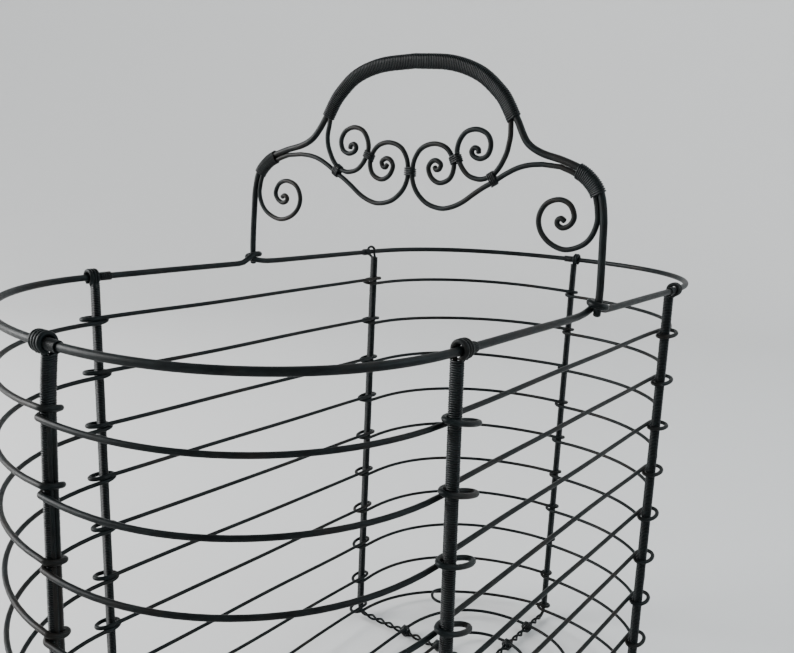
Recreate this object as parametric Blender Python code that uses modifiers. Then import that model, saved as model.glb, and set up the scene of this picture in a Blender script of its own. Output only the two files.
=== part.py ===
"""Egg collection basket, bent and bound from wire, with an arched scroll handle.

Frame: metres, +Z up. The origin is on the ground under the middle of the basket.
X runs across the basket, in the plane of the handle. Y runs along it. Front is -Y.
"""

import math
from collections import namedtuple

import bpy
from mathutils import Vector

MM = 0.001

# Plan of the rim, measured on the rim wire's axis
HALF_WIDTH = 100 * MM
HALF_STRAIGHT = 102 * MM
END_BULGE = 88 * MM
END_POWER = 2.25
# The four rounded quarters are not alike: how square each is, (side, end) first
RIM_POWER = {(1, -1): 2.28, (-1, -1): 2.06, (-1, 1): 2.25, (1, 1): 2.28}
RUNG_POWER = {(1, -1): 2.27, (-1, -1): 1.98, (-1, 1): 2.25, (1, 1): 2.37}
BASE_POWER = {**RUNG_POWER, (-1, 1): 2.0}
END_Y = HALF_STRAIGHT + END_BULGE - 0.1 * MM
FRONT_END_X = 7.4 * MM
BACK_END_X = 4.5 * MM

# Wires, by radius
RIM_R = 1.4 * MM
RUNG_R = 1.0 * MM
CORE_R = 0.75 * MM
HANDLE_R = 1.6 * MM
SCROLL_R = 1.02 * MM
BINDING = 0.8 * MM
GAP = 0.3 * MM

# Levels
RUNG_COUNT = 9
RUNG_PITCH = 25.5 * MM
TOP_GAP = 22.5 * MM
SPOKE_Z = BINDING + GAP + CORE_R
LEG_OFFSET = CORE_R + GAP / 2
INNER_RING_Z = SPOKE_Z + 2 * LEG_OFFSET + CORE_R + GAP + RUNG_R
BASE_RING_Z = 9.2 * MM
RIM_Z = BASE_RING_Z + RUNG_COUNT * RUNG_PITCH + TOP_GAP

# A rung's full turn round an upright, on the wire's axis
TURN_R = 4.1 * MM

# Inner base rings: half width, and how far each reaches along the basket
LARGE_RING = (57 * MM, 162 * MM)
SMALL_RING = (30 * MM, 134 * MM)

# Handle: the middle of the arch stands this far to the right of the middle of the feet,
# and the right foot stands this far inside its own place, with the rim bent in to meet it
SWAY = 2.7 * MM
FOOT_IN = 1.5 * MM
FOOT_X = HALF_WIDTH + RIM_R + GAP + HANDLE_R
PAIR_OFFSET = HANDLE_R + GAP + SCROLL_R

METAL = (0.013, 0.019, 0.019, 1.0)
# Uprights, clockwise from above. x and y are on the rim's axis. inset is how far the upright
# hangs inside the rim, shift how far +X its foot stands from its top. The rungs pass it on its
# outer (1) or inner (-1) side, in a turn with this opening and this climb. first and last are
# how far the top and the lowest rung sit above their level there.
Upright = namedtuple("Upright", "name x y normal inset shift side opening climb first last")
UPRIGHTS = (
    Upright("front_right", HALF_WIDTH, -HALF_STRAIGHT, (1, 0), 1.5, 6.8, -1, 5.0, -2.4, -2.3, 3.0),
    Upright("front_end", FRONT_END_X, -END_Y, (0, -1), 0.8, 0.0, 1, 0.6, 3.4, 1.2, 3.0),
    Upright("front_left", -HALF_WIDTH, -HALF_STRAIGHT, (-1, 0), -0.3, 8.0, -1, 3.4, 2.4, 2.8, 2.2),
    Upright("back_left", -HALF_WIDTH, HALF_STRAIGHT, (-1, 0), 2.6, 0.0, -1, 4.0, -3.2, 4.0, -4.0),
    Upright("back_end", BACK_END_X, END_Y, (0, 1), 2.0, 0.0, -1, 0.6, -3.0, 0.0, 0.0),
    Upright("back_right", HALF_WIDTH, HALF_STRAIGHT, (1, 0), 2.4, 2.2, -1, 5.0, 2.4, -1.2, 0.6),
)


# Blender helpers

def clear_scene():
    for item in list(bpy.data.objects):
        bpy.data.objects.remove(item)


def new_collection(name):
    made = bpy.data.collections.new(name)
    bpy.context.scene.collection.children.link(made)
    return made


def wire_material(name, roughness):
    made = bpy.data.materials.new(name)
    made.use_nodes = True
    shader = made.node_tree.nodes["Principled BSDF"]
    shader.inputs["Base Color"].default_value = METAL
    shader.inputs["Metallic"].default_value = 0.6
    shader.inputs["Roughness"].default_value = roughness
    return made


def link(item, roughness=0.4, collection=None):
    (collection or PARTS).objects.link(item)
    if collection is None:
        item.data.materials.append(wire_material(item.name + "_wire", roughness))
    return item


def add_spline(data, points, closed):
    spline = data.splines.new("POLY")
    spline.points.add(len(points) - 1)
    for slot, point in zip(spline.points, points):
        slot.co = (*point, 1.0)
    spline.use_cyclic_u = closed


def wire(name, points, radius, closed=False, resolution=1):
    """A round wire along the points. Resolution 1 gives six sides, 2 gives eight."""
    data = bpy.data.curves.new(name, "CURVE")
    data.dimensions = "3D"
    data.bevel_depth = radius
    data.bevel_resolution = resolution
    data.use_fill_caps = not closed
    add_spline(data, points, closed)
    return link(bpy.data.objects.new(name, data))


def stadium(half_length, radius, steps=4):
    """Outline of a slot: two half circles, half_length each side of the middle along X."""
    points = []
    for side in (1, -1):
        for step in range(steps + 1):
            angle = math.pi * (step / steps - 0.5)
            x = side * (half_length + radius * math.cos(angle))
            points.append(Vector((x, side * radius * math.sin(angle), 0)))
    return points


def ring_curve(name, half_length, radius, wall, length):
    """A short straight sleeve along local Z, with a slot-shaped hole along local X."""
    data = bpy.data.curves.new(name, "CURVE")
    data.dimensions = "2D"
    data.fill_mode = "BOTH"
    data.extrude = length / 2
    steps = 4 if half_length else 3
    add_spline(data, stadium(half_length, radius + wall, steps)[:], True)
    add_spline(data, stadium(half_length, radius, steps), True)
    return bpy.data.objects.new(name, data)


def place(item, centre, along, across):
    """Puts the item's local Z along one direction and its local X along another."""
    z_axis = Vector(along).normalized()
    x_axis = (Vector(across) - z_axis * Vector(across).dot(z_axis)).normalized()
    y_axis = z_axis.cross(x_axis)
    for column, axis in enumerate((x_axis, y_axis, z_axis)):
        for row in range(3):
            item.matrix_world[row][column] = axis[row]
    item.matrix_world.translation = Vector(centre)
    return item


# Curve helpers

def smooth(points, steps):
    """A Catmull-Rom curve through hand-placed points."""
    padded = [points[0] * 2 - points[1], *points, points[-1] * 2 - points[-2]]
    made = []
    for a, b, c, d in zip(padded, padded[1:], padded[2:], padded[3:]):
        for step in range(steps):
            t = step / steps
            made.append(0.5 * ((2 * b) + (c - a) * t + (2 * a - 5 * b + 4 * c - d) * t * t
                               + (3 * b - a - 3 * c + d) * t * t * t))
    return [*made, points[-1]]


def normals_2d(points):
    """For each point of a flat run, the unit vector a quarter turn to the left of travel."""
    made = []
    for before, after in zip([points[0], *points[:-1]], [*points[1:], points[-1]]):
        run = (after - before).normalized()
        made.append(Vector((-run.y, run.x)))
    return made


def shifted(points, distance):
    return [p + n * distance for p, n in zip(points, normals_2d(points))]


def end_quarter(half_width, bulge, side, end, steps, outwards, power=END_POWER, leaning=True):
    """Plan points of a quarter of a rounded end, clear of the uprights at both of its ends.
    A leaning end has its furthest point where the end upright stands."""
    power = 2 / power
    tip = 0
    if leaning:
        tip = FRONT_END_X if end < 0 else BACK_END_X
    first, last = math.radians(8), math.radians(82)
    made = []
    for step in range(steps):
        angle = first + (last - first) * step / (steps - 1)
        x = tip + (side * half_width - tip) * math.cos(angle) ** power
        y = HALF_STRAIGHT + bulge * math.sin(angle) ** power
        made.append(Vector((x, end * y, 0)))
    return made if outwards else made[::-1]


# Basket

def axis_at(upright, z):
    """The point of an upright's axis at this height."""
    x = upright.x - upright.normal[0] * upright.inset * MM
    y = upright.y - upright.normal[1] * upright.inset * MM
    return Vector((x + foot_shift(upright, z), y, z))


def foot_shift(upright, z):
    return upright.shift * MM * (1 - z / RIM_Z)


def turn_points(upright, z):
    """One full turn of a wire round an upright: in on one side, round ahead of it, back on
    its other side, round an open loop behind it, and on again, higher or lower."""
    passing = Vector((*upright.normal, 0)) * upright.side
    travel = Vector((upright.normal[1], -upright.normal[0], 0))
    side, opening = TURN_R * math.cos(math.radians(30)), upright.opening * MM
    plan = (
        (0, TURN_R),
        (side, TURN_R / 2),
        (side, -TURN_R / 2),
        (0, -TURN_R),
        (-opening, -TURN_R),
        (-opening - side, -TURN_R / 2),
        (-opening - side, TURN_R / 2),
        (-opening, TURN_R),
    )
    made = []
    for step, (ahead, aside) in enumerate(plan):
        height = upright.climb * MM * (step / (len(plan) - 1) - 0.5)
        point = axis_at(upright, z) + travel * ahead + passing * aside
        made.append(point + Vector((0, 0, height)))
    return made


def pass_distance(upright):
    """How far outside the rim's axis a rung runs past an upright."""
    return upright.side * TURN_R - upright.inset * MM


def level_at(upright, number):
    """Height of a rung's turn at an upright. The base ring counts as one more rung."""
    share = (number - 1) / (RUNG_COUNT - 1)
    above = (upright.first + (upright.last - upright.first) * share) * MM
    if number > RUNG_COUNT:
        above *= 0.3
    return RIM_Z - TOP_GAP - (number - 1) * RUNG_PITCH + above


def rung_path(number, steps=7):
    """The closed path of a rung, clockwise from above, with its six turns."""
    path = []
    for upright, after in zip(UPRIGHTS, [*UPRIGHTS[1:], UPRIGHTS[0]]):
        z, next_z = level_at(upright, number), level_at(after, number)
        path += turn_points(upright, z)
        if upright.normal[0] and after.normal[0]:
            continue
        corner, end = (upright, after) if upright.normal[0] else (after, upright)
        quarter = (corner.normal[0], end.normal[1])
        power = (BASE_POWER if number > RUNG_COUNT else RUNG_POWER)[quarter]
        run = end_quarter(HALF_WIDTH + pass_distance(corner), END_BULGE + pass_distance(end),
                          *quarter, steps, corner is upright, power)
        leave = z + upright.climb * MM / 2
        arrive = next_z - after.climb * MM / 2
        for step, point in enumerate(run):
            share = (step + 1) / (len(run) + 1)
            point.z = leave + (arrive - leave) * share
            point.x += foot_shift(upright, z) * (1 - share) + foot_shift(after, next_z) * share
            path.append(point)
    return path


def at_height(points, z):
    return [Vector((p.x, p.y, p.z + z)) for p in points]


def make_rungs():
    for number in range(1, RUNG_COUNT + 1):
        wire(f"rung_{number:02d}", rung_path(number), RUNG_R, closed=True)


def make_base_ring():
    """The lowest hoop. Its two ends meet on the back left, one of them in a flat curl."""
    path = rung_path(RUNG_COUNT + 1)
    near = min(range(len(path)), key=lambda i: (path[i] - Vector((-0.068, 0.159, BASE_RING_Z))).length)
    path = path[near + 1:] + path[:near + 1]
    start, meet = path[0], path[-1]
    run = (start - meet).normalized()
    inside = Vector((run.y, -run.x, 0)).normalized()
    run.z = 0
    lift = Vector((0, 0, 2 * RUNG_R + GAP))
    curl = []
    plan = ((5.5, 17.5), (1, 19), (-4, 17.8), (-7, 13.5), (-7.5, 8), (-5.5, 3), (-1, 0.3))
    for ahead, aside in plan:
        curl.append(meet + run * ahead * MM + inside * aside * MM + lift)
    curl.append(meet + run * 4 * MM + lift)
    wire("base_ring", curl + path, RUNG_R)


def make_inner_rings():
    for name, (half_width, reach) in (
        ("inner_base_ring_large", LARGE_RING),
        ("inner_base_ring_small", SMALL_RING),
    ):
        bulge = reach - HALF_STRAIGHT
        path = []
        for side, end, outwards in ((1, -1, True), (-1, -1, False), (-1, 1, True), (1, 1, False)):
            crossing = spoke_x(end * reach)
            quarter = end_quarter(half_width, bulge, side, end, 6, outwards, leaning=False)
            path += [p for p in quarter if abs(p.x - crossing) > 8 * MM]
            if outwards:
                for away in (side * 4.5 * MM, -side * 4.5 * MM):
                    path.append(Vector((crossing + away, end * reach, 0)))
        wire(name, at_height(path, INNER_RING_Z), RUNG_R, closed=True)


def eye_points(inset):
    """The fold of a doubled wire over the rim, seen along the rim: out of the outer leg,
    round under and over the rim, into the inner leg. First value outwards, second up."""
    ring_r, raised = 3.1, 0.5
    made = [Vector((-inset + 0.9, -5.8)), Vector((-inset + 0.9, -4.3))]
    for degrees in (-58, -30, 0, 30, 60, 90, 120, 150, 180):
        angle = math.radians(degrees)
        made.append(Vector((ring_r * math.cos(angle), raised + ring_r * math.sin(angle))))
    made += [Vector((-2.9, -1.4)), Vector((-inset - 0.9, -4.3)), Vector((-inset - 0.9, -5.8))]
    return [p * MM for p in made]


def frame_wire(name, one, other, hops=()):
    """A closed doubled wire in a vertical plane, between two opposite uprights: up one of
    them, over the rim and back, across the floor, and the same on the other side.
    hops lift it over a crossing pair."""
    bend = 4.0 * MM
    tops = [Vector((u.x, u.y, 0)) for u in (one, other)]
    middle = (tops[0] + tops[1]) / 2
    along = (tops[0] - tops[1]).normalized()
    reach = (tops[0] - tops[1]).length / 2
    top_z, low_z = SPOKE_Z + 2 * LEG_OFFSET, SPOKE_Z

    def lean(upright, sign, z):
        return sign * along.x * foot_shift(upright, z)

    def eye(upright, sign):
        made = []
        for point in eye_points(upright.inset):
            straight = point.y < -4 * MM
            leaning = lean(upright, sign, RIM_Z + point.y) if straight else 0
            made.append(Vector((reach + point.x + leaning, RIM_Z + point.y)))
        return made

    def corner(leg_x, inner, floor_z):
        radius = bend + (leg_x - inner)
        centre = Vector((leg_x - radius, floor_z + radius))
        angles = [math.radians(-30 * step) for step in range(4)]
        return [centre + Vector((math.cos(a), math.sin(a))) * radius for a in angles]

    def side(upright, sign):
        """Up the outer leg, over the rim and down the inner leg, to the floor both ways."""
        at = reach - upright.inset * MM + lean(upright, sign, top_z + bend)
        inner = at - LEG_OFFSET
        return (corner(at + LEG_OFFSET, inner, low_z)[::-1] + eye(upright, sign)
                + corner(inner, inner, top_z))

    def hop_run(floor_z, sign):
        run = []
        lift = 2 * LEG_OFFSET + 2 * CORE_R + GAP
        for at in hops:
            for away, share in ((9, 0), (5.5, 0.75), (3, 1), (-3, 1), (-5.5, 0.75), (-9, 0)):
                run.append(Vector((sign * (at + away * MM), floor_z + share * lift)))
        return run

    path = side(one, 1) + hop_run(top_z, 1)
    path += [Vector((-p.x, p.y)) for p in side(other, -1)[::-1]]
    path += hop_run(low_z, -1)
    points = [middle + along * p.x + Vector((0, 0, p.y)) for p in path]
    return wire(name, points, CORE_R, closed=True)


def make_frame_wires():
    front_right, front_end, front_left, back_left, back_end, back_right = UPRIGHTS
    frame_wire("front_frame_wire", front_right, front_left)
    frame_wire("back_frame_wire", back_right, back_left)
    frame_wire("long_frame_wire", back_end, front_end, (HALF_STRAIGHT, -HALF_STRAIGHT))


def make_upright_bindings():
    low, high = 8.4 * MM, RIM_Z - 4.6 * MM
    for upright in UPRIGHTS:
        bottom, top = axis_at(upright, low), axis_at(upright, high)
        sleeve = ring_curve(upright.name + "_binding", LEG_OFFSET, CORE_R + 0.2 * MM, 0.75 * MM,
                            (top - bottom).length)
        place(link(sleeve), (bottom + top) / 2, top - bottom, (*upright.normal, 0))


def make_rim_collars():
    length = 6.8 * MM
    start = CORE_R + GAP
    for upright in UPRIGHTS:
        if upright.normal[0]:
            along = Vector((0, -1 if upright.y > 0 else 1, 0))
        else:
            along = Vector((-upright.normal[1], 0, 0))
        at = Vector((upright.x, upright.y, RIM_Z)) + along * (start + length / 2)
        sleeve = ring_curve(upright.name + "_rim_collar", 0, RIM_R + 1.3 * GAP, 0.6 * MM, length)
        place(link(sleeve), at, along, (0, 0, 1))


def make_rim():
    """The mouth's heavy hoop. On each long side it makes one turn round a handle foot."""
    turn_r = FOOT_X - HALF_WIDTH
    path = []
    corners = ((1, -1, True), (-1, -1, False), None, (-1, 1, True), (1, 1, False), None)
    for corner in corners:
        if corner:
            side, end, outwards = corner
            power = RIM_POWER[side, end]
            quarter = end_quarter(HALF_WIDTH, END_BULGE, side, end, 9, outwards, power)
            upright = Vector((side * HALF_WIDTH, end * HALF_STRAIGHT, 0))
            path += [upright, *quarter] if outwards else [*quarter, upright]
            if outwards:
                for away in (side * 9.0 * MM, -side * 9.0 * MM):
                    end_x = FRONT_END_X if end < 0 else BACK_END_X
                    path.append(Vector((end_x + away, end * END_Y, 0)))
            continue
        side = -1 if path[-1].x < 0 else 1
        bent_in = FOOT_IN if side > 0 else 0
        heights = (1.4, 1.6, 5.0, 3.6) if side < 0 else (4.2, 5.4, 2.0, 1.4)
        plan = [(4.5, 0, heights[0])]
        for step in range(9):
            angle = math.radians(-90 + 45 * step)
            plan.append((-turn_r * math.cos(angle) / MM, turn_r * (1 + math.sin(angle)) / MM,
                         heights[1] + (heights[2] - heights[1]) * step / 8))
        plan.append((-4.5, 0, heights[3]))
        turn = [Vector((side * (HALF_WIDTH - bent_in + outside * MM), y * MM, height * MM))
                for y, outside, height in plan]
        for reach, share in ((10, 0.75), (25, 0)):
            x = side * (HALF_WIDTH - bent_in * share)
            turn = [Vector((x, reach * MM, 0)), *turn, Vector((x, -reach * MM, 0))]
        path += turn if side > 0 else turn[::-1]
    wire("rim_wire", at_height(path, RIM_Z), RIM_R, closed=True, resolution=1)


def spoke_x(y):
    """Where the long spoke stands across the basket."""
    return (FRONT_END_X + BACK_END_X) / 2 + (BACK_END_X - FRONT_END_X) / 2 * y / END_Y


def make_lashings():
    """Tight coils round each crossing of an inner ring with a spoke, as plain sleeves."""
    length = 3.4 * MM
    top = INNER_RING_Z + RUNG_R + GAP + BINDING
    hole_r = top / 2 - BINDING
    half_length = 3.6 * MM - hole_r / 2
    for ring_name, (ring_x, ring_y) in (("large", LARGE_RING), ("small", SMALL_RING)):
        spots = (
            ("front_right", ring_x, -HALF_STRAIGHT),
            ("front_end", spoke_x(-ring_y), -ring_y),
            ("front_left", -ring_x, -HALF_STRAIGHT),
            ("back_left", -ring_x, HALF_STRAIGHT),
            ("back_end", spoke_x(ring_y), ring_y),
            ("back_right", ring_x, HALF_STRAIGHT),
        )
        for spot, x, y in spots:
            name = f"{ring_name}_ring_lashing_{spot}"
            sleeve = ring_curve(name, half_length, hole_r, BINDING, length)
            turn = 1 if x * y >= 0 else -1
            place(link(sleeve), (x, y, top / 2), (1, turn, 0), (-turn, 1, 0))


# Handle. Its outline is drawn for the right half, across and up from the rim, in mm

FRAME_POINTS = (
    (103.3, -0.2), (103.7, 10), (102.9, 30), (102.2, 40), (99.9, 49.3), (95.0, 55.2),
    (89.2, 58.8), (80.0, 62.0), (70.0, 64.5), (63.0, 67.9), (58.0, 73.0), (53.5, 79.5),
    (50.4, 84.8), (45.9, 90.8), (35.6, 99.2), (20.2, 104.2), (0.0, 105.6),
)
SPIRAL_POINTS = (
    (97.6, 32.5), (93.0, 27.7), (84.8, 25.1), (77.0, 27.2), (71.8, 32.0), (70.5, 38.0),
    (73.6, 43.6), (79.9, 45.8), (85.4, 44.0), (87.9, 39.3), (86.3, 35.8), (82.9, 34.4),
    (79.4, 36.4), (80.9, 39.4), (83.8, 39.2),
)
HEART_POINTS = (
    (70.3, 60.0), (64.0, 59.5), (58.0, 58.0), (51.7, 55.0), (46.0, 51.5), (41.0, 48.8),
    (36.0, 45.6), (30.0, 41.5), (24.0, 38.9), (18.0, 38.0), (10.5, 39.8), (4.8, 44.2),
    (1.9, 49.2), (1.3, 54.0), (2.3, 60.0), (6.2, 65.2), (13.1, 67.3), (19.8, 65.6),
    (23.8, 60.7), (24.4, 56.0), (22.3, 51.6), (17.2, 49.6), (12.6, 51.6), (10.4, 56.0),
    (11.6, 59.6), (14.8, 60.6), (17.6, 57.8), (16.2, 54.8), (13.6, 54.6),
)
SMALL_SCROLL_POINTS = (
    (51.7, 74.5), (52.6, 70.0), (52.1, 65.0), (49.9, 60.0), (47.6, 56.6), (45.0, 54.2),
    (41.3, 52.7), (38.0, 52.3), (33.0, 53.5), (29.3, 56.6), (26.8, 60.7), (25.8, 64.6),
    (26.9, 69.1), (30.0, 72.8), (35.1, 74.1), (40.0, 72.7), (42.8, 69.6), (43.4, 66.2),
    (41.8, 62.8), (38.0, 61.3), (34.1, 62.7), (32.8, 65.4), (35.1, 67.3), (37.6, 65.2),
)


def in_mm(points):
    return [Vector(p) * MM for p in points]


def stand(points, side=1):
    """Lifts flat handle points into the plane Y = 0, swayed to the right in the middle."""
    made = []
    for point in points:
        x = side * point.x
        away = min(abs(x) / FOOT_X, 1.0)
        sway = SWAY * (1 - away ** 5) if x < 0 else SWAY - (SWAY + FOOT_IN) * away ** 3
        made.append(Vector((x + sway, 0, RIM_Z + point.y)))
    return made


def frame_half():
    return smooth(in_mm(FRAME_POINTS), 2)


def beside_frame(first, last):
    """The stretch of the frame's half outline between two of its points, and the same
    stretch moved to the inner side, where a scroll wire lies against it."""
    line = frame_half()[2 * first:2 * last + 1]
    whole = frame_half()
    inner = shifted(whole, PAIR_OFFSET)[2 * first:2 * last + 1]
    return line, inner


def make_handle_frame():
    half = frame_half()
    right = stand(half)
    left = stand(half, -1)
    wire("handle_frame", right + left[-2::-1], HANDLE_R, resolution=2)


def make_scrolls():
    _, contact = beside_frame(3, 7)
    flat = smooth(in_mm(SPIRAL_POINTS)[::-1] + contact[::2] + in_mm(HEART_POINTS), 2)
    for name, side in (("right_large_scroll", 1), ("left_large_scroll", -1)):
        wire(name, stand(flat, side), SCROLL_R)
    _, under_grip = beside_frame(11, 16)
    half = under_grip[::-1] + smooth(in_mm(SMALL_SCROLL_POINTS), 2)
    right = stand(half)
    left = stand(half, -1)
    wire("inner_scroll_wire", left[:0:-1] + right, SCROLL_R)


def pair_sleeve(name, points):
    """A sleeve round the handle frame and the scroll wire beside it, along a flat path.
    An open tube of slot section, thickened outwards."""
    profile = bpy.data.curves.new(name + "_section", "CURVE")
    profile.dimensions = "2D"
    half = (2 * HANDLE_R + 2 * SCROLL_R + GAP) / 2 - HANDLE_R
    add_spline(profile, stadium(half, HANDLE_R + GAP), True)
    guide = link(bpy.data.objects.new(name + "_section", profile), collection=GUIDES)
    guide.hide_render = True
    guide.display_type = "WIRE"
    data = bpy.data.curves.new(name, "CURVE")
    data.dimensions = "2D"
    data.fill_mode = "NONE"
    data.bevel_mode = "OBJECT"
    data.bevel_object = guide
    add_spline(data, [Vector((p.x, p.y, 0)) for p in points], False)
    sleeve = link(bpy.data.objects.new(name, data))
    sleeve.rotation_euler = (math.pi / 2, 0, 0)
    solidify = sleeve.modifiers.new("wall", "SOLIDIFY")
    solidify.thickness = BINDING
    solidify.offset = -1.0
    solidify.use_even_offset = True
    return sleeve


def swayed(points, side=1):
    """Flat handle points with the sway, for a curve that is stood up by its own rotation."""
    return [Vector((p.x, p.z)) for p in stand(points, side)]


def make_handle_bindings():
    middle = (HANDLE_R - (PAIR_OFFSET + SCROLL_R)) / 2
    centre_line = shifted(frame_half(), -middle)
    grip = centre_line[22:]
    path = swayed(grip) + swayed(grip, -1)[-2::-1]
    pair_sleeve("grip_binding", path)
    shoulder = centre_line[8:13]
    pair_sleeve("right_shoulder_binding", swayed(shoulder))
    pair_sleeve("left_shoulder_binding", swayed(shoulder, -1)[::-1])


def make_ties():
    """Short sleeves where two scroll wires lie side by side."""
    wall, length = 0.9 * MM, 3.2 * MM
    # name, middle of the pair, direction of the wires, half the distance between them
    ties = (
        ("centre_tie", (0.0, 54.0), (0, 1), 1.3),
        ("inner_tie", (25.3, 60.7), (-0.42, 0.91), 1.5),
        ("cross_tie", (45.5, 52.8), (0.87, 0.5), 1.45),
    )
    for name, (x, z), (run_x, run_z), half in ties:
        for side in (1, -1) if x else (1,):
            word = {1: "right_", -1: "left_"}[side] if x else ""
            at = stand([Vector((x, z)) * MM], side)[0]
            along = Vector((side * run_x, 0, run_z))
            across = Vector((along.z, 0, -along.x))
            sleeve = ring_curve(word + name, half * MM, SCROLL_R + GAP, wall, length)
            place(link(sleeve), at, along, across)


clear_scene()
PARTS = new_collection("egg_collection_basket")
GUIDES = new_collection("guides")
make_rim()
make_rungs()
make_base_ring()
make_inner_rings()
make_frame_wires()
make_upright_bindings()
make_rim_collars()
make_lashings()
make_handle_frame()
make_scrolls()
make_handle_bindings()
make_ties()
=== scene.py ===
"""The looks of the wire egg basket: every wire at its full thickness, wound and bent.

Lengths are in millimetres until they are put into a mesh. X runs across the basket in
the plane of the handle, Y along it, and the end nearest the camera is -Y.
"""

import math
from collections import namedtuple

import bpy
import numpy as np
from mathutils import Matrix, Vector


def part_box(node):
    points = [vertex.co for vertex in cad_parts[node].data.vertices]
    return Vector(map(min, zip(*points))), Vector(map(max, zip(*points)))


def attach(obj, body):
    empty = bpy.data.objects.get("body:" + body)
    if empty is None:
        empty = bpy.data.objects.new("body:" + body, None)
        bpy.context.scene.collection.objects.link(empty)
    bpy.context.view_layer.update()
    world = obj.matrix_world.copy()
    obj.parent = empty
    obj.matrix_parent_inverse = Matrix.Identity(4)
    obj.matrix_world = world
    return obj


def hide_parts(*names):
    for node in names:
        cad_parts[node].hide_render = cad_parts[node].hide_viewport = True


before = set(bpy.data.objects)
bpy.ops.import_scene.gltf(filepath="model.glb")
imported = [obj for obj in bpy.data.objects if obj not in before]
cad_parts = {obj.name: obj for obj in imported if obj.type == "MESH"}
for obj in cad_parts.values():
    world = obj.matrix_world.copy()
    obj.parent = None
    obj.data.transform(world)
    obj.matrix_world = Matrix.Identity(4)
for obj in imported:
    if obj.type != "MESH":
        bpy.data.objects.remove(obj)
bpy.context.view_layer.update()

MM = 0.001
UP = np.array((0.0, 0.0, 1.0))


def span(node):
    low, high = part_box(node)
    return np.array(low) / MM, np.array(high) / MM


def middle(node):
    low, high = span(node)
    return (low + high) / 2


# The CAD's own wires, by radius, which its boxes are measured over
CAD_CORE_R = 0.75
CAD_RUNG_R = 1.0

# Places, from the frame
RIM_Z = middle("front_left_rim_collar")[2]
SIDE_X = middle("front_right_rim_collar")[0]
SIDE_Y = -middle("front_right_binding")[1]
END_Y = middle("back_end_rim_collar")[1]
TIP_X = {-1: middle("front_end_binding")[0], 1: middle("back_end_binding")[0]}
SPOKE_LOW = span("front_frame_wire")[0][2] + CAD_CORE_R
RING_Z = middle("inner_base_ring_large")[2]
SWAY = middle("grip_binding")[0]

# Levels of the rungs
RUNG_COUNT = 9
TOP_LEVEL = RIM_Z - 22.5
LEVEL_STEP = 25.5

# The handle's feet. The right one, and the rim with it, is bent in by FOOT_IN
FOOT_X = 103.3
FOOT_IN = 1.5

# How square each rounded quarter is, (side, end) first: none is quite like another
END_POWER = 2.25
RUNG_POWER = {(1, -1): 2.27, (-1, -1): 1.98, (-1, 1): 2.25, (1, 1): 2.37}
BASE_POWER = {**RUNG_POWER, (-1, 1): 2.0}
RIM_POWER = {(1, -1): 2.28, (-1, -1): 2.06, (-1, 1): 2.25, (1, 1): 2.28}

# Wires at their full thickness, by radius
RIM_R = 1.5
RUNG_R = 1.06
CORE_R = 0.8
HANDLE_R = 1.6
SCROLL_R = 1.2
BIND_R = 0.39
COLLAR_BIND_R = 0.29

# How far apart wires that touch are drawn, and half the distance of a doubled wire's strands
CONTACT = 0.02
STRAND_AWAY = 0.82

# A rung's turn round an upright: its middle and half length along the rung, half width, tilt
Turn = namedtuple("Turn", "middle half_length half_width tilt")
# A doubled wire's fold over the rim: its place along the rim, and the strands it shows
Eye = namedtuple("Eye", "offset strands")
# Clockwise from above. inset is how far an upright hangs inside the rim, shift how far +X its
# foot stands from its top, and bow how far +X it bends just under the rim. Rungs pass it on
# its outer (1) or inner (-1) side, in a turn with this climb. first and last are how far the
# top and the lowest rung sit above their level.
Upright = namedtuple("Upright", "name x y normal inset shift side climb first last turn eye bow")
UPRIGHTS = (
    Upright("front_right", SIDE_X, -SIDE_Y, (1, 0), 1.5, 6.8, -1, -2.3, -2.3, 3.0,
            Turn(-4.4, 8.9, 4.2, 1.8), Eye(-0.5, 3), 0.0),
    Upright("front_end", TIP_X[-1] - 1.1, -END_Y, (0, -1), 0.8, 1.1, 1, 3.4, 1.2, 3.0,
            Turn(-0.2, 2.7, 3.5, 0.0), Eye(0.6, 4), 2.6),
    Upright("front_left", -SIDE_X, -SIDE_Y, (-1, 0), -0.4, 8.8, -1, 2.3, 2.8, 2.2,
            Turn(-1.2, 6.2, 4.1, 0.0), Eye(-1.8, 3), 0.0),
    Upright("back_left", -SIDE_X, SIDE_Y, (-1, 0), 2.6, 0.0, -1, -3.2, 4.0, -4.0,
            Turn(-1.7, 6.7, 4.1, 0.0), Eye(0.0, 1), 0.0),
    Upright("back_end", TIP_X[1], END_Y, (0, 1), 2.0, 0.0, -1, -3.0, 0.0, 0.0,
            Turn(-0.2, 3.3, 3.7, 0.0), Eye(0.0, 2), 0.0),
    Upright("back_right", SIDE_X, SIDE_Y, (1, 0), 2.4, 2.2, -1, 2.3, -1.2, 0.6,
            Turn(-3.2, 7.3, 4.2, 0.0), Eye(0.0, 3), 0.0),
)
# How far under the rim an upright's bow is widest, and how fast it fades
BOW_DROP, BOW_REACH = 3, 14


def axis_at(upright, z):
    """The point of an upright's axis at this height."""
    x = upright.x - upright.normal[0] * upright.inset + foot_shift(upright, z)
    return np.array((x, upright.y - upright.normal[1] * upright.inset, z))


def foot_shift(upright, z):
    """How far +X of its place at the rim an upright stands at this height."""
    bow = upright.bow * np.exp(-np.abs(RIM_Z - BOW_DROP - z) / BOW_REACH)
    return upright.shift * (1 - z / RIM_Z) + bow


# Meshes

def unit(vectors):
    """The vectors, each at length 1."""
    vectors = np.asarray(vectors, float)
    return vectors / np.linalg.norm(vectors, axis=-1, keepdims=True)


def running(points, closed):
    """The direction of travel at each point."""
    points = np.asarray(points, float)
    if closed:
        return unit(np.roll(points, -1, 0) - np.roll(points, 1, 0))
    return unit(np.gradient(points, axis=0))


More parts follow.
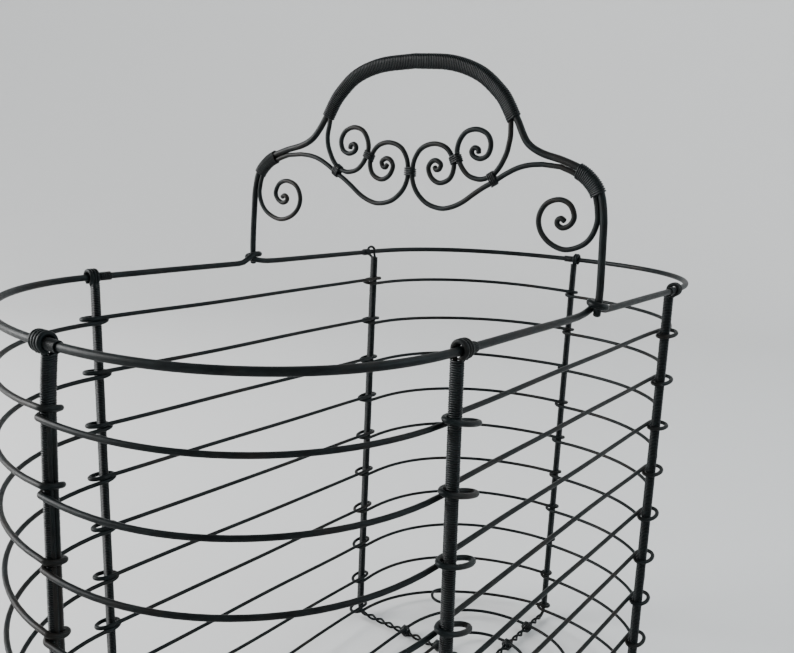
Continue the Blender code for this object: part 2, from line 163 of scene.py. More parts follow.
def carried_sides(run, closed):
    """A direction square to each run that turns as little as it can along the wire."""
    start = UP if abs(run[0][2]) < 0.8 else np.array((0.0, 1.0, 0.0))
    side = np.cross(run[0], start)
    sides = []
    for step in run:
        side = side - step * side.dot(step)
        side = side / math.sqrt(side.dot(side))
        sides.append(side)
    sides = np.array(sides)
    if closed:
        back = unit(sides[-1] - run[0] * sides[-1].dot(run[0]))
        turn = math.atan2(np.cross(back, sides[0]).dot(run[0]), back.dot(sides[0]))
        angles = turn * np.arange(len(run))[:, None] / len(run)
        sides = sides * np.cos(angles) + np.cross(run, sides) * np.sin(angles)
    return sides


# The rounded end of a cut wire, outermost ring first: how far past the end, and how thick
CUT_END = ((0.42, 0.5), (0.25, 0.85))


def sweep(points, radius, closed=False, sides=10):
    """Vertices and faces of a round wire. An open wire's ends are cut and slightly rounded."""
    points = np.asarray(points, float)
    radii = np.full(len(points), float(radius))
    if not closed:
        run = running(points, False)
        head = [points[0] - run[0] * radius * away for away, _ in CUT_END]
        tail = [points[-1] + run[-1] * radius * away for away, _ in CUT_END[::-1]]
        points = np.concatenate([head, points, tail])
        cut = radius * np.array([share for _, share in CUT_END])
        radii = np.concatenate([cut, radii, cut[::-1]])
    run = running(points, closed)
    side = carried_sides(run, closed)
    other = np.cross(run, side)
    angles = np.arange(sides) * 2 * math.pi / sides
    rings = (points[:, None] + radii[:, None, None]
             * (side[:, None] * np.cos(angles)[None, :, None]
                + other[:, None] * np.sin(angles)[None, :, None]))
    count = len(points)
    here = np.arange(count if closed else count - 1)[:, None] * sides
    there = (here + sides) % (count * sides)
    a = np.arange(sides)[None]
    b = (a + 1) % sides
    quads = np.stack([here + a, here + b, there + b, there + a], -1).reshape(-1, 4).tolist()
    if not closed:
        quads.append(list(range(sides))[::-1])
        quads.append(list(range((count - 1) * sides, count * sides)))
    return rings.reshape(-1, 3), quads


def piece(node, parts, material):
    """One object from one or more swept wires, standing for a CAD node."""
    points, faces, start = [], [], 0
    for part_points, part_faces in parts:
        points.append(part_points)
        faces += [[start + corner for corner in face] for face in part_faces]
        start += len(part_points)
    mesh = bpy.data.meshes.new(node + "_fine")
    mesh.from_pydata((np.concatenate(points) * MM).tolist(), [], faces)
    mesh.shade_smooth()
    mesh.materials.append(material)
    made = bpy.data.objects.new(node + "_fine", mesh)
    bpy.context.scene.collection.objects.link(made)
    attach(made, "root")
    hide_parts(node)


# Curves

def smooth(points, steps):
    """A Catmull-Rom curve through given points."""
    points = np.asarray(points, float)
    padded = np.concatenate([[2 * points[0] - points[1]], points, [2 * points[-1] - points[-2]]])
    t = (np.arange(steps) / steps)[:, None]
    made = []
    for a, b, c, d in zip(padded, padded[1:], padded[2:], padded[3:]):
        made.append(0.5 * (2 * b + (c - a) * t + (2 * a - 5 * b + 4 * c - d) * t ** 2
                           + (3 * b - a - 3 * c + d) * t ** 3))
    return np.concatenate([*made, [points[-1]]])


def lengths(points):
    """How far along the points' line each of them is."""
    steps = np.linalg.norm(np.diff(points, axis=0), axis=1)
    return np.concatenate([[0], np.cumsum(steps)])


def at(points, values, where):
    """values, given at points, read at distances along them."""
    measured = lengths(points)
    return np.stack([np.interp(where, measured, column) for column in np.asarray(values).T], -1)


# For numbers that look random and are the same on each run
SCATTER_RATES = (12.9898, 78.233, 37.719)
SCATTER_SIZE = 43758.5453
FULL_TURN = 6.2832
WAVE_RATES = (0.9, 1.7, 3.1)


def scatter(*seeds):
    return math.sin(sum(seed * rate for seed, rate in zip(seeds, SCATTER_RATES))) * SCATTER_SIZE


def waver(where, seed, reach=1.0):
    """A slow wander of about one unit either way, the same on each run."""
    total = 0
    for number, rate in enumerate(WAVE_RATES):
        phase = scatter(seed, number) % FULL_TURN
        total = total + np.sin(where * rate / reach + phase) / (number + 1.3)
    return total


def chance(*seeds):
    """A number from -1 to 1 that depends only on the seeds."""
    return 2 * (scatter(*seeds) % 1.0) - 1


# Windings

def hull(circles, count=48):
    """The outline of a thread pulled tight round some circles (across, aside, radius)."""
    angles = np.arange(720) * math.pi / 360
    outline = []
    for angle in angles:
        c, s = math.cos(angle), math.sin(angle)
        x, y, r = max(circles, key=lambda circle: circle[0] * c + circle[1] * s + circle[2])
        outline.append((x + r * c, y + r * s))
    outline = np.array([*outline, outline[0]])
    return at(outline, outline, np.linspace(0, lengths(outline)[-1], count + 1))


# How much the size of a wound thread's turns differs
UNEVEN = 0.012


def wind(path, across, circles, pitch, thread=BIND_R, per_turn=18, sides=6, seed=1.0, slack=0.03,
         start=0.0, scale=1.0):
    """A thread wound along a path round a section. across is the section's first axis at
    each point of the path. The turns lean and spread a little, as hand-wound ones do."""
    path = np.asarray(path, float)
    across = np.broadcast_to(np.asarray(across, float), path.shape)
    section = hull([(x, y, r + thread) for x, y, r in circles])
    total = lengths(path)[-1]
    turns = total / pitch
    u = np.linspace(0, turns, int(turns * per_turn) + 1)
    along = np.clip(u * pitch + slack * pitch * waver(u, seed, 2.0), 0, total)
    centre = at(path, path, along)
    run = unit(at(path, running(path, False), along))
    first = at(path, across, along)
    first = unit(first - run * np.sum(first * run, 1)[:, None])
    second = np.cross(run, first)
    share = (u + start) % 1.0
    spots = np.linspace(0, 1, len(section))
    x = np.interp(share, spots, section[:, 0])
    y = np.interp(share, spots, section[:, 1])
    size = scale * (1 + UNEVEN * waver(u * 2.1, seed + 5))
    points = centre + first * (x * size)[:, None] + second * (y * size)[:, None]
    return sweep(points, thread, sides=sides)


# Materials

# How fine the wire's markings are, as noise scales: brown patches, scale, wear and grain
PATCHES, SCALE_MARKS, WEAR, GRAIN = 34, 160, 420, 2600
GRAIN_DEPTH = 0.00012
WIRE_METALLIC = 0.04


def wire_material(name, dark, light, warm, warm_share, roughness, grain, gloss):
    """Oiled black steel wire: blue-black scale, paler in places, with faint brown patches."""
    made = bpy.data.materials.new(name)
    made.use_nodes = True
    nodes, links = made.node_tree.nodes, made.node_tree.links
    shader = nodes["Principled BSDF"]
    shader.inputs["Metallic"].default_value = WIRE_METALLIC
    shader.inputs["Specular IOR Level"].default_value = gloss
    place = nodes.new("ShaderNodeTexCoord")

    def noise(scale, detail, rough=0.55):
        made_noise = nodes.new("ShaderNodeTexNoise")
        made_noise.inputs["Scale"].default_value = scale
        made_noise.inputs["Detail"].default_value = detail
        made_noise.inputs["Roughness"].default_value = rough
        links.new(place.outputs["Object"], made_noise.inputs["Vector"])
        return made_noise.outputs["Fac"]

    def ramp(source, stops):
        made_ramp = nodes.new("ShaderNodeValToRGB")
        elements = made_ramp.color_ramp.elements
        while len(elements) < len(stops):
            elements.new(0.5)
        for element, (spot, colour) in zip(elements, stops):
            element.position = spot
            element.color = (*colour, 1.0)
        links.new(source, made_ramp.inputs["Fac"])
        return made_ramp.outputs["Color"]

    scale_colour = ramp(noise(SCALE_MARKS, 5), ((0.34, dark), (0.7, light)))
    low = 1 - warm_share
    warm_mask = ramp(noise(PATCHES, 4, 0.62), ((low - 0.1, (0, 0, 0)), (low + 0.12, (1, 1, 1))))
    mix = nodes.new("ShaderNodeMix")
    mix.data_type = "RGBA"
    # This node's sockets share their names, so the colour ones are taken by number
    factor, first_colour, second_colour = (mix.inputs[number] for number in (0, 6, 7))
    second_colour.default_value = (*warm, 1.0)
    links.new(scale_colour, first_colour)
    links.new(warm_mask, factor)
    links.new(mix.outputs[2], shader.inputs["Base Color"])
    rough = nodes.new("ShaderNodeMapRange")
    rough.inputs["To Min"].default_value = roughness - 0.09
    rough.inputs["To Max"].default_value = roughness + 0.13
    links.new(noise(WEAR, 4), rough.inputs["Value"])
    links.new(rough.outputs["Result"], shader.inputs["Roughness"])
    bump = nodes.new("ShaderNodeBump")
    bump.inputs["Strength"].default_value = grain
    bump.inputs["Distance"].default_value = GRAIN_DEPTH
    links.new(noise(GRAIN, 3, 0.6), bump.inputs["Height"])
    links.new(bump.outputs["Normal"], shader.inputs["Normal"])
    return made


DARK = (0.0018, 0.0032, 0.0036)
LIGHT = (0.0062, 0.0096, 0.0102)
BROWN = (0.0125, 0.0102, 0.0085)
BOUND_DARK = (0.0010, 0.0022, 0.0025)
BOUND_LIGHT = (0.0040, 0.0070, 0.0076)
HEAVY = wire_material("heavy_wire_scale", DARK, LIGHT, BROWN,
                      warm_share=0.40, roughness=0.40, grain=0.35, gloss=0.13)
THIN = wire_material("light_wire_scale", DARK, LIGHT, BROWN,
                     warm_share=0.42, roughness=0.42, grain=0.35, gloss=0.12)
BOUND = wire_material("binding_wire_scale", BOUND_DARK, BOUND_LIGHT, BROWN,
                      warm_share=0.24, roughness=0.30, grain=0.25, gloss=0.24)


# Basket

def end_curve(half_width, end_y, side, end, count, first=3.0, last=87.0, power=END_POWER,
              tip=0.0):
    """Plan points of a quarter of a rounded end, from the long side to its furthest point,
    which stands at X = tip. first and last are in degrees."""
    angle = np.radians(np.linspace(first, last, count))
    x = tip + (side * half_width - tip) * np.cos(angle) ** (2 / power)
    y = SIDE_Y + (end_y - SIDE_Y) * np.sin(angle) ** (2 / power)
    return np.stack([x, end * y, np.zeros(count)], 1)


# How much one turn differs from the next in its middle, half length and tilt
TURN_CHANCE = (0.35, 0.5, 0.45)


def travel_at(upright):
    """The way along the rim and the rungs at an upright, clockwise from above."""
    return np.array((upright.normal[1], -upright.normal[0], 0.0))


def loop_points(upright, number, z):
    """A rung's full turn round an upright: in on one side, round ahead of it, back on its
    other side, round behind, and on again, higher or lower."""
    turn = upright.turn
    seed = UPRIGHTS.index(upright) + 1
    along, longer, tilted = [
        size * chance(number, seed, draw) for draw, size in enumerate(TURN_CHANCE, 1)
    ]
    passing = np.array((*upright.normal, 0.0)) * upright.side
    angle = np.radians(np.linspace(0, 360, 33))
    ahead = turn.middle + along + (turn.half_length + longer) * np.sin(angle)
    aside = turn.half_width * np.cos(angle)
    height = upright.climb * (angle / (2 * math.pi) - 0.5) + (turn.tilt + tilted) * np.sin(angle)
    return (axis_at(upright, z) + travel_at(upright) * ahead[:, None]
            + passing * aside[:, None] + UP * height[:, None])


# How much of an upright's own height difference the base ring follows
BASE_FOLLOWS = 0.3


def level_at(upright, number):
    """Height of a rung's turn at an upright. The base ring counts as one more rung."""
    above = upright.first + (upright.last - upright.first) * (number - 1) / (RUNG_COUNT - 1)
    follows = BASE_FOLLOWS if number > RUNG_COUNT else 1
    return TOP_LEVEL - (number - 1) * LEVEL_STEP + above * follows


def pass_distance(upright):
    """How far outside the rim's axis a rung runs past an upright."""
    return upright.side * upright.turn.half_width - upright.inset


# Where the run between two turns starts and ends: as shares of a long side, and as the least
# distance from an end upright's axis
SIDE_SHARES = (0.05, 0.93)
END_CLEARANCE = 5.5
# Roughly how far the turns reach into a run at each end
TURN_REACH = 8
# How far a run wanders, and over what length
WANDER_UP, WANDER_UP_LENGTH = 0.4, 60
WANDER_ASIDE, WANDER_ASIDE_LENGTH = 0.36, 55
# How far the base ring hangs at the back left
BASE_SAG = 2.2


def side_run(upright, after):
    """A rung's run along a long side, in plan."""
    start, stop = [
        np.array((one.normal[0] * (SIDE_X + pass_distance(one)), one.y, 0))
        for one in (upright, after)
    ]
    share = np.linspace(*SIDE_SHARES, 16)[:, None]
    return start * (1 - share) + stop * share


def corner_run(upright, after, powers):
    """A rung's run between a long side and the end of the basket, in plan."""
    corner, end = (upright, after) if upright.normal[0] else (after, upright)
    quarter = (corner.normal[0], end.normal[1])
    run = end_curve(SIDE_X + pass_distance(corner), END_Y + pass_distance(end), *quarter,
                    count=24, first=4.0, last=88.0, power=powers[quarter], tip=TIP_X[quarter[1]])
    run = run[corner.normal[0] * (run[:, 0] - end.x) > END_CLEARANCE]
    return run if corner is upright else run[::-1]


def rung_path(number):
    """The closed path of a rung, clockwise from above."""
    is_base = number > RUNG_COUNT
    powers = BASE_POWER if is_base else RUNG_POWER
    path = []
    for spot, (upright, after) in enumerate(zip(UPRIGHTS, [*UPRIGHTS[1:], UPRIGHTS[0]])):
        z, next_z = level_at(upright, number), level_at(after, number)
        path.append(loop_points(upright, number, z))
        if upright.normal[0] and after.normal[0]:
            run = side_run(upright, after)
        else:
            run = corner_run(upright, after, powers).copy()
        measured = lengths(run)
        share = (measured + TURN_REACH) / (measured[-1] + 2 * TURN_REACH)
        drift = np.sin(share * math.pi) ** 0.5
        seed = number * 7.3 + spot * 1.9
        leave, arrive = z + upright.climb / 2, next_z - after.climb / 2
        run[:, 0] += foot_shift(upright, z) * (1 - share) + foot_shift(after, next_z) * share
        run[:, 2] += leave + (arrive - leave) * share
        run[:, 2] += WANDER_UP * drift * waver(measured / WANDER_UP_LENGTH, seed)
        if is_base and upright.name == "back_left":
            run[:, 2] -= BASE_SAG * np.sin(share * math.pi)
        away = unit(np.cross(running(run, False), UP))
        aside = WANDER_ASIDE * drift * waver(measured / WANDER_ASIDE_LENGTH, seed + 3.1)
        run += away * aside[:, None]
        path.append(run)
    return np.concatenate(path)


def make_rungs():
    for number in range(1, RUNG_COUNT + 1):
        wire = sweep(rung_path(number), RUNG_R, closed=True)
        piece(f"rung_{number:02d}", [wire], THIN)


# The base ring's join at the back left, in plan, and the curl that one end makes there: how
# far along the ring and inwards from the join its points lie, and how far above the ring
RING_JOIN = (-68, 159)
CURL_POINTS = (
    (5.6, 17.6), (1, 19.2), (-4, 18), (-7.2, 13.5), (-7.6, 8), (-5.4, 3), (-1, 0.6), (4, 0.2),
    (9, 0.0),
)
CURL_RISE = 2.05


def make_base_ring():
    """The lowest hoop, whose two ends meet on the back left, one of them in a flat curl."""
    path = rung_path(RUNG_COUNT + 1)
    near = np.argmin(np.linalg.norm(path[:, :2] - RING_JOIN, axis=1))
    path = np.concatenate([path[near + 1:], path[:near + 1]])
    start, meet = path[0], path[-1]
    run = unit((start - meet) * (1, 1, 0))
    inside = np.array((run[1], -run[0], 0.0))
    curl = smooth([meet + run * a + inside * b + UP * CURL_RISE for a, b in CURL_POINTS], 5)
    path = np.concatenate([path, path[:1]])
    piece("base_ring", [sweep(curl, RUNG_R), sweep(path, RUNG_R)], THIN)


# How far an inner ring wanders sideways and up, and over what length
RING_ASIDE, RING_ASIDE_LENGTH = 0.5, 70
RING_UP, RING_UP_LENGTH = 0.15, 50


def make_inner_rings():
    """The two closed rings of the floor, each from four quarters and two straight sides."""
    for node in ("inner_base_ring_large", "inner_base_ring_small"):
        low, high = span(node)
        half_width, end_y = high[0] - CAD_RUNG_R, high[1] - CAD_RUNG_R
        quarters = []
        for side, end, outwards in ((1, -1, True), (-1, -1, False), (-1, 1, True), (1, 1, False)):
            quarter = end_curve(half_width, end_y, side, end, 20)
            quarters.append(quarter if outwards else quarter[::-1])
            if not outwards:
                share = np.linspace(0.08, 0.92, 9)[:, None]
                here = np.array((side * half_width, end * SIDE_Y, 0))
                quarters.append(here * (1 - share) + here * (1, -1, 1) * share)
        path = np.concatenate(quarters)
        measured = lengths(path)
        path[:, 0] += RING_ASIDE * waver(measured / RING_ASIDE_LENGTH, half_width)
        path[:, 2] += RING_Z + RING_UP * waver(measured / RING_UP_LENGTH, half_width + 4)
        piece(node, [sweep(path, RUNG_R, closed=True)], THIN)


# The fold over the rim: its radius, and how far above the rim's axis its middle is
EYE_R = 2.85
EYE_RISE = 0.4
# Its further strands: how far along the rim each lies, how thick it is and how tight
EXTRA_STRANDS = (1.5, -1.5, 2.9)
EXTRA_STRAND_R = CORE_R + 0.12
EXTRA_STRAND_TIGHT = 0.05
# How far under the rim the further strands start, the whole fold starts, and the fold's
# offset starts and is complete
EXTRA_STRAND_DROP = 3.4
EYE_DROP = 4
OFFSET_DROP, OFFSET_FADE = 7, 4.5
# The floor of a doubled wire: its middle above the lowest axis, the bend up into an upright,
# and the hop over another spoke, by height, half length and slope length
SPOKE_MIDDLE = 0.9
SPOKE_BEND = 4.0
HOP_HEIGHT, HOP_LENGTH, HOP_SLOPE = 3.6, 9.0, 5.0
# A twist's curve steps to a turn, and how far it takes to open from the bends
TWIST_STEPS = 14
TWIST_EASE = 6


def eye_plan(inset):
    """A doubled wire's fold over the rim, seen along the rim: outwards and up from it."""
    outer, inner = STRAND_AWAY - inset, -STRAND_AWAY - inset
    made = [(outer, -7.0), (outer, -5.4), (0.9 - inset, -4.3)]
    for degrees in range(-66, 190, 12):
        angle = math.radians(degrees)
        made.append((EYE_R * math.cos(angle), EYE_R * math.sin(angle) + EYE_RISE))
    made += [(-2.7, -1.6), (-0.9 - inset, -4.3), (inner, -5.4), (inner, -7.0)]
    return np.array(made)


def twisted(length, turns, radius):
    """Shares of the length, and the offsets aside and up of one wire of a twisted pair there,
    which eases in and out."""
    share = np.linspace(0, 1, int(turns * TWIST_STEPS) + 1)
    angle = 2 * math.pi * turns * share
    ease = np.clip(np.minimum(share, 1 - share) * length / TWIST_EASE, 0, 1)
    size = STRAND_AWAY + (radius - STRAND_AWAY) * ease
    return share, size * np.sin(angle), size * np.cos(angle)


def hop_lift(x, hops):
    """How far a spoke rises at X to pass over the others."""
    lift = np.zeros(len(x))
    for hop in hops:
        lift = np.maximum(lift, np.clip((HOP_LENGTH - np.abs(x - hop)) / HOP_SLOPE, 0, 1))
    return HOP_HEIGHT * lift * lift * (3 - 2 * lift)


def extra_strands(upright, fold):
    """The further strands of an eye, beside the one that the doubled wire makes."""
    travel = travel_at(upright)
    outwards = fold - (upright.x, upright.y, RIM_Z + 0.5)
    outwards -= travel * (outwards @ travel)[:, None]
    return [
        sweep(fold + travel * away - outwards * EXTRA_STRAND_TIGHT, EXTRA_STRAND_R)
        for away in EXTRA_STRANDS[:upright.eye.strands - 1]
    ]


def frame_wire(node, one, other, turns, radius, hops=()):
    """A doubled wire between two opposite uprights: up one, over the rim, down again,
    across the floor, and the same on the other side. Its two strands are twisted together
    on the floor, in this many turns and at this radius."""
    tops = [np.array((u.x, u.y, 0.0)) for u in (one, other)]
    centre = (tops[0] + tops[1]) / 2
    along = unit(tops[0] - tops[1])
    aside = np.cross(UP, along)
    reach = np.linalg.norm(tops[0] - tops[1]) / 2
    mid_z = SPOKE_LOW + SPOKE_MIDDLE
    high, low = mid_z + STRAND_AWAY, mid_z - STRAND_AWAY

    def corner(leg, inner, floor_z):
        size = SPOKE_BEND + leg - inner
        angle = np.radians(np.linspace(0, -90, 10))
        across = leg - size + size * np.cos(angle)
        return np.stack([across, floor_z + size + size * np.sin(angle)], 1)

    def side(upright, sign):
        foot = reach - upright.inset + sign * along[0] * foot_shift(upright, high + SPOKE_BEND)
        outer, inner = foot + STRAND_AWAY, foot - STRAND_AWAY
        eye = smooth(eye_plan(upright.inset), 3) + (reach, RIM_Z)
        below = eye[:, 1] < RIM_Z - EYE_DROP
        eye[:, 0] += sign * along[0] * foot_shift(upright, eye[:, 1]) * below
        flat = np.concatenate([corner(outer, inner, low)[::-1], eye, corner(inner, inner, high)])
        return np.stack([flat[:, 0], np.zeros(len(flat)), flat[:, 1]], 1)

    right, left = side(one, 1), (side(other, -1) * (-1, 1, 1))[::-1]
    start, stop = right[-1][0], left[0][0]
    share, aside_by, up_by = twisted(start - stop, turns, radius)
    x = start + (stop - start) * share
    floor_z = mid_z + hop_lift(x, hops)
    floor = [np.stack([x, sign * aside_by, floor_z + sign * up_by], 1) for sign in (1, -1)]
    path = np.concatenate([right, floor[0][1:-1], left, floor[1][1:-1][::-1]])
    points = centre + along * path[:, :1] + aside * path[:, 1:2] + UP * path[:, 2:]
    extra = []
    for upright, here in ((one, path[:, 0] > 0), (other, path[:, 0] < 0)):
        near_rim = np.clip((points[:, 2] - RIM_Z + OFFSET_DROP) / OFFSET_FADE, 0, 1)
        moved = upright.eye.offset * near_rim * here
        if upright.normal[1]:
            points[:, 0] += foot_shift(upright, points[:, 2]) * here
        points += travel_at(upright) * moved[:, None]
        fold = points[here & (points[:, 2] > RIM_Z - EXTRA_STRAND_DROP)]
        extra += extra_strands(upright, fold)
    piece(node, [sweep(points, CORE_R, closed=True), *extra], THIN)


def make_frame_wires():
    front_right, front_end, front_left, back_left, back_end, back_right = UPRIGHTS
    frame_wire("front_frame_wire", front_right, front_left, turns=12, radius=1.25)
    frame_wire("back_frame_wire", back_right, back_left, turns=12, radius=1.25)
    frame_wire("long_frame_wire", back_end, front_end, turns=26, radius=1.15,
               hops=(SIDE_Y, -SIDE_Y))


# What an upright's binding is wound round: how far each leg stands off the middle, and its
# radius there. Then the distance between threads, and where they stop under the rim
LEG_AWAY, LEG_R = 0.75, 1.1
LEG_PITCH = 0.8
LEG_TOP = 3.1
# A collar on the rim: the distance between threads, and where it starts and stops
COLLAR_PITCH = 0.66
COLLAR_SPAN = (-2.2, 3.4)


def make_upright_bindings():
    """A close-wound thread round the two legs of each upright, from foot to rim."""
    pair = ((-LEG_AWAY, 0, LEG_R), (LEG_AWAY, 0, LEG_R))
    for seed, upright in enumerate(UPRIGHTS, 1):
        node = upright.name + "_binding"
        bottom = span(node)[0][2]
        path = [axis_at(upright, z) for z in np.linspace(bottom, RIM_Z - LEG_TOP, 80)]
        wound = wind(path, (*upright.normal, 0), pair, LEG_PITCH, per_turn=16, seed=seed, start=0.3)
        piece(node, [wound], BOUND)


def make_rim_collars():
    """Short coils of thin thread on the rim, beside the eyes."""
    for seed, upright in enumerate(UPRIGHTS, 9):
        node = upright.name + "_rim_collar"
        centre = middle(node)
        along_rim = (abs(upright.normal[1]), abs(upright.normal[0]), 0)
        from_eye = unit((centre - (upright.x, upright.y, centre[2])) * along_rim)
        path = [centre + from_eye * step for step in np.linspace(*COLLAR_SPAN, 12)]
        wound = wind(path, UP, ((0, 0, RIM_R),), COLLAR_PITCH, thread=COLLAR_BIND_R, per_turn=22,
                     sides=8, seed=seed)
        piece(node, [wound], BOUND)


# The rim's turn round a foot of the handle: its radius, how far it climbs, how much of the
# side it takes, and how far along the rim is bent in. The rim runs to it and from it, along
# and up, by the low way or the high way, and the turn itself starts low or high
FOOT_TURN_R = 3.3
FOOT_CLIMB = 3.5
FOOT_ROOM = 14
FOOT_IN_REACH = 13
LOW_WAY = ((-10.5, 0.1), (-7.5, 0.2), (-4.2, 0.5), (-1.6, 0.9))
HIGH_WAY = ((-10.5, 0.5), (-7.5, 1.9), (-4.5, 3.7), (-2.0, 4.6))
LOW_START, HIGH_START = 1.5, 4.75
# How far the straight side wanders up, and over what length
RIM_UP, RIM_UP_LENGTH = 0.05, 30
# Sides of the heavy wires' section
HEAVY_SIDES = 14


def rim_side(side):
    """The rim's straight side from front to back, with its turn round the handle's foot. The
    turn comes in high and leaves low on the left, and the other way round on the right."""
    if side < 0:
        arrive, leave, start, climb = HIGH_WAY, LOW_WAY, HIGH_START, -FOOT_CLIMB
    else:
        arrive, leave, start, climb = LOW_WAY, HIGH_WAY, LOW_START, FOOT_CLIMB

    def straight(first, last):
        return [
            (0, y, RIM_UP * waver(y / RIM_UP_LENGTH, side)) for y in np.linspace(first, last, 12)
        ]

    made = straight(-SIDE_Y, -FOOT_ROOM)
    made += [(0, y, z) for y, z in arrive]
    for degrees in range(15, 360, 15):
        angle = math.radians(degrees - 90)
        made.append((FOOT_TURN_R * (1 + math.sin(angle)), FOOT_TURN_R * math.cos(angle),
                     start + climb * degrees / 360))
    made += [(0, -y, z) for y, z in leave[::-1]]
    made += straight(FOOT_ROOM, SIDE_Y)
    made = np.array(made)
    if side > 0:
        made[:, 0] -= FOOT_IN * np.exp(-(made[:, 1] / FOOT_IN_REACH) ** 2)
    return made * (side, 1, 1) + (side * SIDE_X, 0, RIM_Z)


def make_whole_rim():
    front_right, front_left, back_left, back_right = [
        end_curve(SIDE_X, END_Y, *quarter, 30, power=RIM_POWER[quarter], tip=TIP_X[quarter[1]])
        + UP * RIM_Z
        for quarter in ((1, -1), (-1, -1), (-1, 1), (1, 1))
    ]
    path = np.concatenate([front_right, front_left[::-1], rim_side(-1), back_left,
                           back_right[::-1], rim_side(1)[::-1]])
    wire = sweep(path, RIM_R, closed=True, sides=HEAVY_SIDES)
    piece("rim_wire", [wire], HEAVY)


# A lashing: how far it reaches under the spoke's lowest axis, the distance between threads
# and how uneven it is. Then its two coils, with their slant, half length and size
LASH_UNDER = 0.78
LASH_PITCH = 0.95
LASH_SLACK = 0.12
LASH_COILS = ((1, 1.9, 1.0), (-1, 1.4, 1.1))


def make_lashings():
    """Thread wound slantwise both ways round each crossing of an inner ring with a spoke."""
    bottom, top = SPOKE_LOW - LASH_UNDER, RING_Z + RUNG_R
    half = (top - bottom) / 2
    # Round the ring at the top, the spoke at the bottom, and what is beside them
    section = ((half - 1.0, 0, 1.0), (1.5 - half, 0, 1.5), (0, 1.7, 1.0), (0, -1.7, 1.0))
    for seed, node in enumerate(sorted(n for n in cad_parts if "_ring_lashing_" in n), 20):
        x, y, _ = middle(node)
        slant = 1 if x * y >= 0 else -1
        centre = np.array((x, y, (bottom + top) / 2))
        coils = []
        for turned, half_length, size in LASH_COILS:
            way = turned * slant
            run = unit((1.0, way, 0.0))
            path = [centre + run * step for step in np.linspace(-half_length, half_length, 10)]
            coils.append(wind(path, UP, section, LASH_PITCH, per_turn=22, sides=8,
                              seed=seed + way, slack=LASH_SLACK, scale=size))
        piece(node, coils, BOUND)


# Handle

# Points of its right half: across from the middle and up from the rim
FRAME_POINTS = (
    (103.3, -0.6), (103.7, 10), (102.9, 30), (102.2, 40), (99.9, 49.3), (95.0, 55.2),
    (89.2, 58.8), (80.0, 62.0), (70.0, 64.5), (63.0, 67.9), (58.0, 73.0), (53.5, 79.5),
    (50.4, 84.8), (45.9, 90.8), (35.6, 99.2), (20.2, 104.2), (0.0, 105.6),
)
SPIRAL_POINTS = (
    (97.6, 32.5), (93.0, 27.7), (84.8, 25.1), (77.0, 27.2), (71.8, 32.0), (70.5, 38.0),
    (73.6, 43.6), (79.9, 45.8), (85.4, 44.0), (87.9, 39.3), (86.4, 35.8), (83.0, 34.1),
    (80.2, 35.1), (79.8, 37.0), (81.5, 38.1), (83.3, 37.1),
)
HEART_POINTS = (
    (70.3, 60.0), (64.0, 59.5), (58.0, 58.0), (51.7, 55.0), (46.0, 51.5), (41.0, 48.8),
    (36.0, 45.6), (30.0, 41.5), (24.0, 38.9), (18.0, 38.0), (10.5, 39.8), (4.8, 44.2),
    (1.9, 49.2), (1.3, 54.0), (2.3, 60.0), (6.2, 65.2), (13.1, 67.3), (19.8, 65.6),
    (23.8, 60.7), (24.4, 56.0), (22.3, 51.6), (17.2, 49.6), (12.6, 51.6), (10.4, 55.8),
    (11.7, 58.8), (14.5, 59.8), (17.2, 58.2), (16.6, 56.0), (14.8, 55.5), (13.9, 56.8),
)
SMALL_SCROLL_POINTS = (
    (51.7, 74.5), (52.6, 70.0), (52.1, 65.0), (49.9, 60.0), (47.6, 56.6), (45.0, 54.2),
    (41.3, 52.7), (38.0, 52.3), (33.0, 53.5), (29.3, 56.6), (26.8, 60.7), (25.8, 64.6),
    (26.9, 69.1), (30.0, 72.8), (35.1, 74.1), (40.0, 72.7), (42.8, 69.6), (43.4, 66.2),
    (41.9, 62.8), (38.4, 61.3), (35.0, 62.2), (33.6, 64.2), (34.8, 66.0), (37.0, 65.5),
    (37.4, 63.9),
)
# Curve steps between two points of the frame, and between two points of a scroll
STEPS = 8
SCROLL_STEPS = 6
# First and last of the frame's points beside a scroll, on the shoulder and under the grip,
# and under the shoulder's binding
SHOULDER = (3, 7)
GRIP = (11, 16)
SHOULDER_BAND = (4, 6.2)
# The right end of the grip stands out by FLARE, above FLARE_Z, round FLARE_X
FLARE = 1.8
FLARE_Z, FLARE_RISE = 66, 12
FLARE_X, FLARE_WIDTH = 54, 14


def stand(points, side=1):
    """Puts flat handle points in the plane Y = 0, swayed to the right in the middle."""
    points = np.asarray(points, float)
    x = side * points[:, 0]
    away = np.minimum(np.abs(x) / FOOT_X, 1)
    high = np.clip((points[:, 1] - FLARE_Z) / FLARE_RISE, 0, 1)
    flare = FLARE * high ** 2 * (3 - 2 * high) * np.exp(-((x - FLARE_X) / FLARE_WIDTH) ** 2)
    x = x + np.where(x < 0, SWAY * (1 - away ** 5), SWAY - (SWAY + FOOT_IN) * away ** 3) + flare
    return np.stack([x, np.zeros(len(x)), RIM_Z + points[:, 1]], 1)


def inner_side(points, distance):
    """The flat points moved sideways, towards the inside of the handle."""
    points = np.asarray(points, float)
    run = running(points, False)
    return points + np.stack([-run[:, 1], run[:, 0]], 1) * distance


FRAME_LINE = smooth(FRAME_POINTS, STEPS)
# From the frame's axis to that of a scroll wire that touches it
TOUCHING = HANDLE_R + SCROLL_R + CONTACT


def frame_stretch(first, last, distance=0.0):
    """The frame's line between two of its points, moved inwards by this distance."""
    whole = inner_side(FRAME_LINE, distance) if distance else FRAME_LINE
    return whole[int(first * STEPS):int(last * STEPS) + 1]


